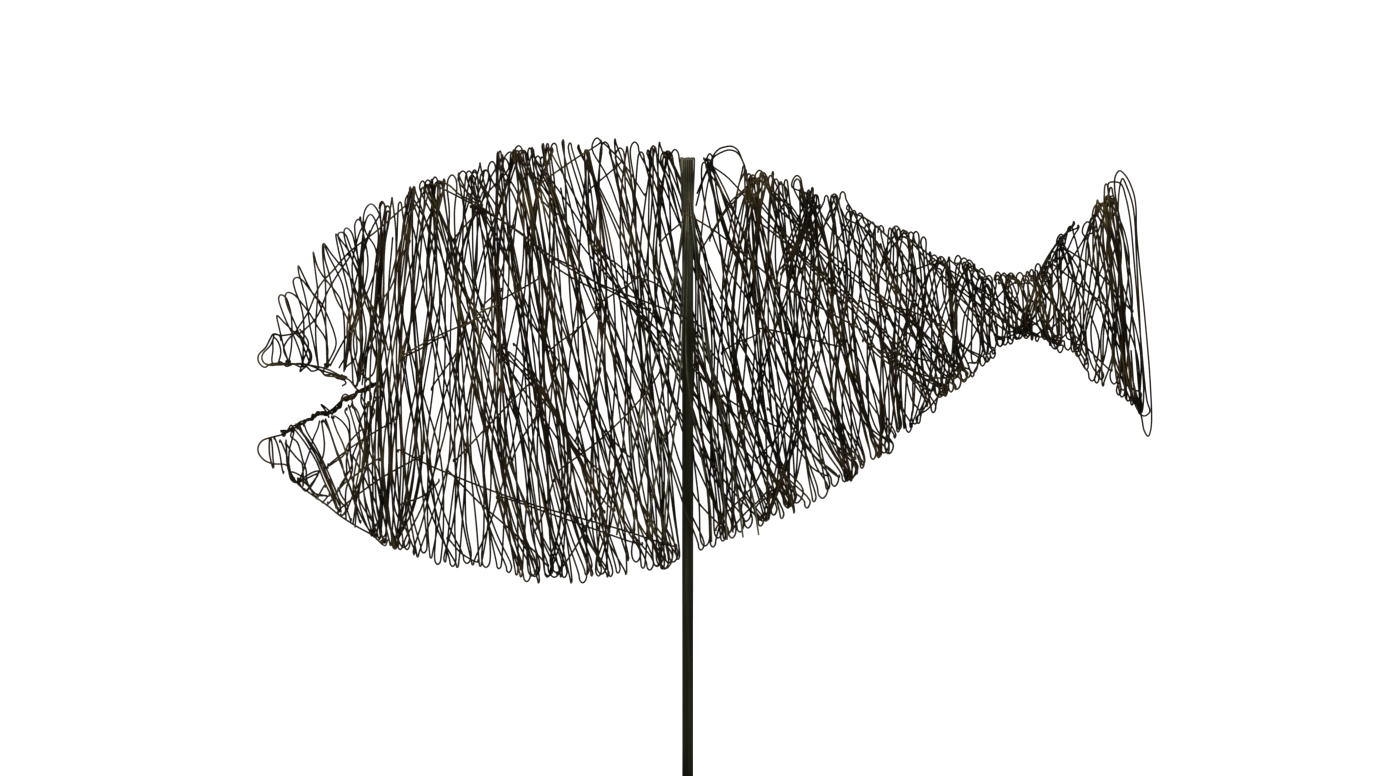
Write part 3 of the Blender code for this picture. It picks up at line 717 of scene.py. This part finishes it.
def grip_post():
    """Wires laid side by side up the post's near face, over its top and down its far face."""
    reach = POST_HIGH.y + GRIP_GAP + WIRE_RADIUS
    over = POST_HIGH.z + GRIP_GAP + WIRE_RADIUS
    draws = random.Random(SEED + 1)
    row = POST_HIGH.x - POST_LOW.x + 1.2 * WIRE_DIAMETER
    drifting, straying, apart, clear, down = 60, 14, 110, 16, 545
    routes = []
    for index in range(GRIP_WIRES):
        share = index / (GRIP_WIRES - 1) - 0.5
        x = share * row
        raised = over + draws.uniform(0, 0.8) * MM
        held = draws.uniform(38, 92) * PIXEL
        drift = (share * drifting + draws.uniform(-straying, straying)) * PIXEL
        foot = place(POST_AXIS_PX + (share * apart + math.copysign(clear, share)), down - abs(share) * clear)
        # From over the post down to the belly: across, deep and up.
        half = (
            (x * 0.9, reach * 0.35, raised + WIRE_RADIUS * 0.4),
            (x, reach * 0.92, raised - 0.3 * MM),
            (x, reach, raised - 6 * MM),
            (x * 0.86, reach, raised - held * 0.6),
            (x * 0.8, reach, raised - held),
            (x * 0.9 + drift * 0.25, HALF_THICKNESS * 0.55, raised - held - 50 * MM),
            (x + drift * 0.7, HALF_THICKNESS * 0.9, (raised + foot.z) / 2 - 20 * MM),
            (foot.x * 0.9, HALF_THICKNESS * 0.6, foot.z + 40 * MM),
            (foot.x, HALF_THICKNESS * TIP_DEPTH, foot.z + 2 * MM))
        far = [Vector(point) for point in half[::-1]]
        routes.append(far + [Vector((point[0], -point[1], point[2])) for point in half])
    return routes


def put(name, data):
    """A new object in the scene."""
    thing = bpy.data.objects.new(name, data)
    bpy.context.scene.collection.objects.link(thing)
    return thing


def round_curve(name, radius, facets, finish):
    """A curve that is drawn round."""
    curve = bpy.data.curves.new(name, "CURVE")
    curve.dimensions = "3D"
    curve.bevel_depth = radius
    curve.bevel_resolution = facets
    curve.use_fill_caps = True
    curve.materials.append(finish)
    return curve


def make_wire(name, routes, rings=RINGS, finish=None):
    """A piece of round wire that follows each route in turn."""
    curve = round_curve(name, WIRE_RADIUS, WIRE_FACETS, finish or WIRE_FINISH)
    for route in routes:
        way = smooth(route, rings)
        spline = curve.splines.new("POLY")
        spline.points.add(len(way) - 1)
        spline.points.foreach_set("co", np.hstack([way, np.ones((len(way), 1))]).ravel())
        spline.use_smooth = True
    piece = put(name, curve)
    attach(piece, "root")
    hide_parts("wire_fish")


def hooked(route):
    """A strand whose ends are bent back round what they cross."""
    first, last = route[0], route[-1]
    inward = Vector((0, -math.copysign(HOOK[0], first.y), 0))
    upward = Vector((0, 0, HOOK[1]))
    return [first + inward - upward] + route + [last + inward + upward]


def linear(code):
    """An sRGB hex colour in linear light."""
    channels = [int(code[index:index + 2], 16) / 255 for index in (1, 3, 5)]
    return (*(c / 12.92 if c <= 0.04045 else ((c + 0.055) / 1.055) ** 2.4 for c in channels), 1.0)


def add(tree, kind, settings=None, **links):
    """Adds a node. Settings are its properties, and links its inputs: a value or a socket."""
    node = tree.nodes.new(kind)
    for name, value in (settings or {}).items():
        setattr(node, name, value)
    for name, value in links.items():
        numbered = name[0] == "i" and name[1:].isdigit()
        socket = node.inputs[int(name[1:]) if numbered else name.replace("_", " ")]
        if isinstance(value, bpy.types.NodeSocket):
            tree.links.new(value, socket)
        else:
            socket.default_value = value
    return node


def ramp(node, stops):
    """Sets a colour ramp's stops: (position, hex colour)."""
    elements = node.color_ramp.elements
    while len(elements) < len(stops):
        elements.new(0.5)
    for element, (position, code) in zip(elements, stops):
        element.position = position
        element.color = linear(code)
    return node


def start_material(name, metallic):
    """An empty finish: its tree, its shader and the object coordinates."""
    finish = bpy.data.materials.new(name)
    finish.use_nodes = True
    tree = finish.node_tree
    shader = tree.nodes["Principled BSDF"]
    shader.inputs["Metallic"].default_value = metallic
    return finish, tree, shader, tree.nodes.new("ShaderNodeTexCoord").outputs["Object"]


def join_skin(tree, shader, colour, dulled, dullness, grain, relief):
    """Joins a finish's colour, its dullness and its fine relief to its shader."""
    dull = add(tree, "ShaderNodeMapRange", Value=dulled, To_Min=dullness[0], To_Max=dullness[1])
    bump = add(tree, "ShaderNodeBump", Height=grain, Strength=relief[0], Distance=relief[1])
    tree.links.new(colour, shader.inputs["Base Color"])
    tree.links.new(dull.outputs["Result"], shader.inputs["Roughness"])
    tree.links.new(bump.outputs["Normal"], shader.inputs["Normal"])


def annealed_wire(name, stops):
    """Black annealed iron wire: drawn, then baked under a thin black oxide that turns brown where hands and
    damp have been at it. It gives dull near-black strands with warm brown stretches, and with lighter greyish
    green stops a painted highlight for the wires over the post's top."""
    finish, tree, shader, at = start_material(name, 0.7)
    shader.inputs["Specular IOR Level"].default_value = 0.25
    stretches = add(tree, "ShaderNodeTexNoise", Vector=at, Scale=1 / (45 * MM), Detail=3.0, Roughness=0.55)
    tone = ramp(add(tree, "ShaderNodeValToRGB", Fac=stretches.outputs["Fac"]), stops)
    specks = add(tree, "ShaderNodeTexNoise", Vector=at, Scale=1 / (1.6 * MM), Detail=2.0)
    spots = ramp(add(tree, "ShaderNodeValToRGB", Fac=specks.outputs["Fac"]),
                 ((0.62, "#000000"), (0.78, "#ffffff")))
    rust = add(tree, "ShaderNodeMix", {"data_type": "RGBA"}, i0=spots.outputs["Color"],
               i6=tone.outputs["Color"], i7=linear("#4a3620"))
    join_skin(tree, shader, rust.outputs[2], stretches.outputs["Fac"], (0.40, 0.62),
              specks.outputs["Fac"], (0.25, 0.08 * MM))
    return finish


def mill_scale(name, streak, base_codes, wear_and_sheen_code, wear_and_sheen):
    """Hot rolled steel under mill scale: blue-black oxide, rolled on in streaks. It gives a dark satin skin
    with long soft marks, with a lighter grey mixed in by a mask: wear where the plate's rim has been handled,
    and a painted highlight towards the post's top."""
    finish, tree, shader, at = start_material(name, 0.85)
    shader.inputs["Specular IOR Level"].default_value = 0.3
    drawn = add(tree, "ShaderNodeMapping", Vector=at, Scale=streak)
    marks = add(tree, "ShaderNodeTexNoise", Vector=drawn.outputs["Vector"], Scale=1.0, Detail=5.0,
                Roughness=0.6)
    tone = ramp(add(tree, "ShaderNodeValToRGB", Fac=marks.outputs["Fac"]), base_codes)
    # The mask mixes in the lighter grey: a painted highlight towards the post's top, and wear along the
    # plate's rim.
    wear_and_sheen_mask = add(tree, "ShaderNodeMath", {"operation": "MULTIPLY"}, i0=wear_and_sheen(tree, at),
                 i1=marks.outputs["Fac"])
    skin = add(tree, "ShaderNodeMix", {"data_type": "RGBA"}, i0=wear_and_sheen_mask.outputs["Value"],
               i6=tone.outputs["Color"], i7=linear(wear_and_sheen_code))
    grit = add(tree, "ShaderNodeTexNoise", Vector=at, Scale=1 / (0.9 * MM), Detail=3.0)
    join_skin(tree, shader, skin.outputs[2], marks.outputs["Fac"], (0.34, 0.58),
              grit.outputs["Fac"], (0.2, 0.05 * MM))
    return finish


def painted_top_highlight(tree, at):
    """Painted highlight: the post lighter grey towards its top, where light from above falls on it."""
    fade_from, fade_to = POST_HIGH.z - 0.16, POST_HIGH.z - 0.02
    height = add(tree, "ShaderNodeSeparateXYZ", Vector=at)
    fade = add(tree, "ShaderNodeMapRange", Value=height.outputs["Z"], From_Min=fade_from,
               From_Max=fade_to, To_Min=0.0, To_Max=1.2)
    return fade.outputs["Result"]


def worn_rim(tree, at):
    """Rubbed along the plate's rim."""
    parts = add(tree, "ShaderNodeSeparateXYZ", Vector=at)
    reach = []
    for axis, edge in (("X", BASE_HIGH.x), ("Y", BASE_HIGH.y)):
        far = add(tree, "ShaderNodeMath", {"operation": "ABSOLUTE"}, i0=parts.outputs[axis])
        reach.append(add(tree, "ShaderNodeMapRange", Value=far.outputs["Value"], From_Min=edge - 4 * MM,
                         From_Max=edge - 0.4 * MM, To_Min=0.0, To_Max=1.0).outputs["Result"])
    return add(tree, "ShaderNodeMath", {"operation": "MAXIMUM"}, i0=reach[0], i1=reach[1]).outputs["Value"]


def finish_piece(piece, node=None):
    """Puts a piece on the body and hides the imported part that it stands for."""
    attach(piece, "root")
    if node:
        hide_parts(node)


def rolled_block(name, low, high, radius, segments, finish):
    """A block of rolled steel with rounded edges."""
    form = bmesh.new()
    bmesh.ops.create_cube(form, size=1.0)
    bmesh.ops.scale(form, vec=high - low, verts=form.verts)
    bmesh.ops.translate(form, vec=(low + high) / 2, verts=form.verts)
    bmesh.ops.bevel(form, geom=form.edges[:], affect="EDGES", offset=radius, segments=segments,
                    profile=0.5, material=-1, clamp_overlap=True)
    bmesh.ops.recalc_face_normals(form, faces=form.faces)
    mesh = bpy.data.meshes.new(name)
    form.to_mesh(mesh)
    form.free()
    mesh.materials.append(finish)
    for face in mesh.polygons:
        face.use_smooth = True
    mesh.set_sharp_from_angle(angle=math.radians(40))
    return put(name, mesh)


def make_weld(finish):
    """The bead that holds the post on the plate: a rippled line of weld round its foot."""
    bead = 2.2 * MM
    ripple = 1.5 * MM
    beside, raised = 0.35 * bead, 0.12 * bead
    swell, uneven = 0.10, 0.06
    side = POST_HIGH.x + beside
    corners = [(-side, -side), (side, -side), (side, side), (-side, side)]
    steps = round(2 * side / ripple) * 2
    curve = round_curve("post_weld", bead, 3, finish)
    spline = curve.splines.new("POLY")
    spline.points.add(4 * steps - 1)
    spline.use_cyclic_u = True
    spline.use_smooth = True
    draws = random.Random(SEED + 2)
    for index, point in enumerate(spline.points):
        start = Vector(corners[index // steps])
        end = Vector(corners[(index // steps + 1) % 4])
        way = start.lerp(end, (index % steps) / steps)
        point.co = (way.x, way.y, BASE_HIGH.z + raised, 1.0)
        point.radius = 1.0 + swell * math.cos(math.pi * index) + draws.uniform(-uneven, uneven)
    return put("post_weld", curve)


def band(wires, side, path, draws):
    """The wires of a band, which open towards its ends and end unevenly."""
    routes = []
    for wire in range(wires):
        rank = wire - (wires - 1) / 2
        layer = side * draws.uniform(*OUTER_LAYERS)
        first, last = draws.uniform(-BAND_ENDS, BAND_ENDS), draws.uniform(-BAND_ENDS, BAND_ENDS)
        route = []
        for step, point in enumerate(path):
            share = step / (len(path) - 1)
            fan = CLOSED_GAP + (OPEN_GAP[1] - CLOSED_GAP) * (2 * share - 1) ** 4
            shift = first * max(0, 1 - 4 * share) + last * max(0, 4 * share - 3)
            moved = (point[0] + rank * fan, point[1] + shift)
            route.append(place(*moved, layer * lens(*moved)))
        routes.append(hooked(route))
    return routes


def make_fish():
    """All the wires of the fish."""
    draws = random.Random(SEED)
    laid = Counter()
    turns = plan_turns(draws)
    start = 0.0
    for name, end in STRETCHES:
        part = [turn for turn in turns if start <= turn.top[0] < end]
        make_wire(name, [wind(part, BOW, laid, draws)])
        start = end
    make_wire("throat_winding", [wind(THROAT, BOW, laid, draws)])
    arches = [rounded((crest, *near)[::-1], -1) + rounded((crest, *far), 1)[1:]
              for crest, near, far in UPPER_ARCHES]
    make_wire("upper_jaw", arches + [wind(UPPER_JAW, JAW_BOW, laid, draws)])
    strands = [hooked(rounded(path, side)) for side, *path in LOWER_STRANDS]
    make_wire("lower_jaw", strands + [wind(LOWER_JAW, JAW_BOW, laid, draws)])
    lips = led(MOUTH_WIRES)
    lips += [twist(path, radius * MM, pitch * MM, draws) for path, radius, pitch in LIP_TWISTS]
    make_wire("mouth_wires", lips)
    make_wire("knots", [coil(*knot, draws) for knot in KNOTS], KNOT_RINGS)
    make_wire("wide_loops", led(WIDE_LOOPS))
    make_wire("tail_ends", [
        [place(*point, TAIL_SWING * math.cos(2 * math.pi * step / len(path) + index))
         for step, point in enumerate(path)]
        for index, path in enumerate(TAIL_LOOPS)])
    slants = []
    for side, *path in SLANTS:
        layer = side * draws.uniform(*OUTER_LAYERS)
        slants.append(hooked([place(*point, layer * lens(*point)) for point in path]))
    for wires, side, *path in BANDS:
        slants += band(wires, side, path, draws)
    make_wire("slanting_wires", slants)
    # The grip wires get the lighter finish: a painted highlight on the wires over the post's top.
    make_wire("post_grip", grip_post(), finish=PAINTED_HIGHLIGHT_FINISH)


def make_stand():
    """The post, its weld and the base plate."""
    # The bar's lighter grey #7b806c towards the post's top is a painted highlight; the plate's #6f7065 is
    # wear along its rim.
    bar = mill_scale("hot rolled square bar", (260.0, 260.0, 9.0),
                     ((0.30, "#17180f"), (0.52, "#26271a"), (0.74, "#393a2a")), "#7b806c", painted_top_highlight)
    plate = mill_scale("hot rolled plate", (16.0, 42.0, 42.0),
                       ((0.30, "#20211a"), (0.50, "#2f3027"), (0.72, "#45463b")), "#6f7065", worn_rim)
    finish_piece(rolled_block("square_post", POST_LOW, POST_HIGH, 0.7 * MM, 3, bar), "steel_post")
    finish_piece(rolled_block("base_plate", BASE_LOW, BASE_HIGH, 1.0 * MM, 3, plate), "steel_base")
    finish_piece(make_weld(plate))


def make_camera():
    """The camera, level and square to the fish, at the distance of a short telephoto view."""
    distance = 4.0
    data = bpy.data.cameras.new("camera")
    data.sensor_width = 36.0
    data.lens = data.sensor_width * distance / (FRAME_WIDTH_PX * PIXEL)
    data.clip_end = 100.0
    camera = put("camera", data)
    camera.location = place(*FRAME_CENTRE_PX) + Vector((0, -distance, 0))
    camera.rotation_euler = (math.radians(90), 0, 0)
    bpy.context.scene.camera = camera


def make_studio():
    """A plain white floor, a white room and two large soft lights."""
    form = bmesh.new()
    bmesh.ops.create_circle(form, cap_ends=True, segments=96, radius=30.0)
    mesh = bpy.data.meshes.new("floor")
    form.to_mesh(mesh)
    form.free()
    finish, _, shader, _ = start_material("matt white paint", 0.0)
    shader.inputs["Base Color"].default_value = linear("#f8f8f8")
    shader.inputs["Roughness"].default_value = 0.9
    mesh.materials.append(finish)
    floor = put("floor", mesh)
    floor.location.z = BASE_LOW.z - 0.05 * MM
    world = bpy.data.worlds.new("white room")
    world.use_nodes = True
    world.node_tree.nodes["Background"].inputs["Color"].default_value = (1, 1, 1, 1)
    world.node_tree.nodes["Background"].inputs["Strength"].default_value = 1.12
    bpy.context.scene.world = world
    for name, spot, size, power in (("key light", (-1.8, -2.6, 2.8), 1.6, 110.0),
                                    ("back light", (1.6, 2.4, 2.4), 1.8, 60.0)):
        data = bpy.data.lights.new(name, "AREA")
        data.shape = "DISK"
        data.size = size
        data.energy = power
        light = put(name, data)
        light.location = spot
        towards = Vector((0, 0, 0.4)) - Vector(spot)
        light.rotation_euler = towards.to_track_quat("-Z", "Y").to_euler()
    bpy.context.scene.view_settings.view_transform = "Standard"
    bpy.context.scene.view_settings.gamma = 0.75


WIRE_FINISH = annealed_wire("black annealed iron wire",
                            ((0.36, "#140f06"), (0.52, "#2e2512"), (0.76, "#584c2e")))
# Lighter grey-green stops: a painted highlight on the grip wires over the post's top.
PAINTED_HIGHLIGHT_FINISH = annealed_wire("black annealed iron wire, painted highlight",
                              ((0.34, "#2d2b20"), (0.50, "#4c4a39"), (0.70, "#7a7863")))
make_camera()
make_fish()
make_stand()
make_studio()
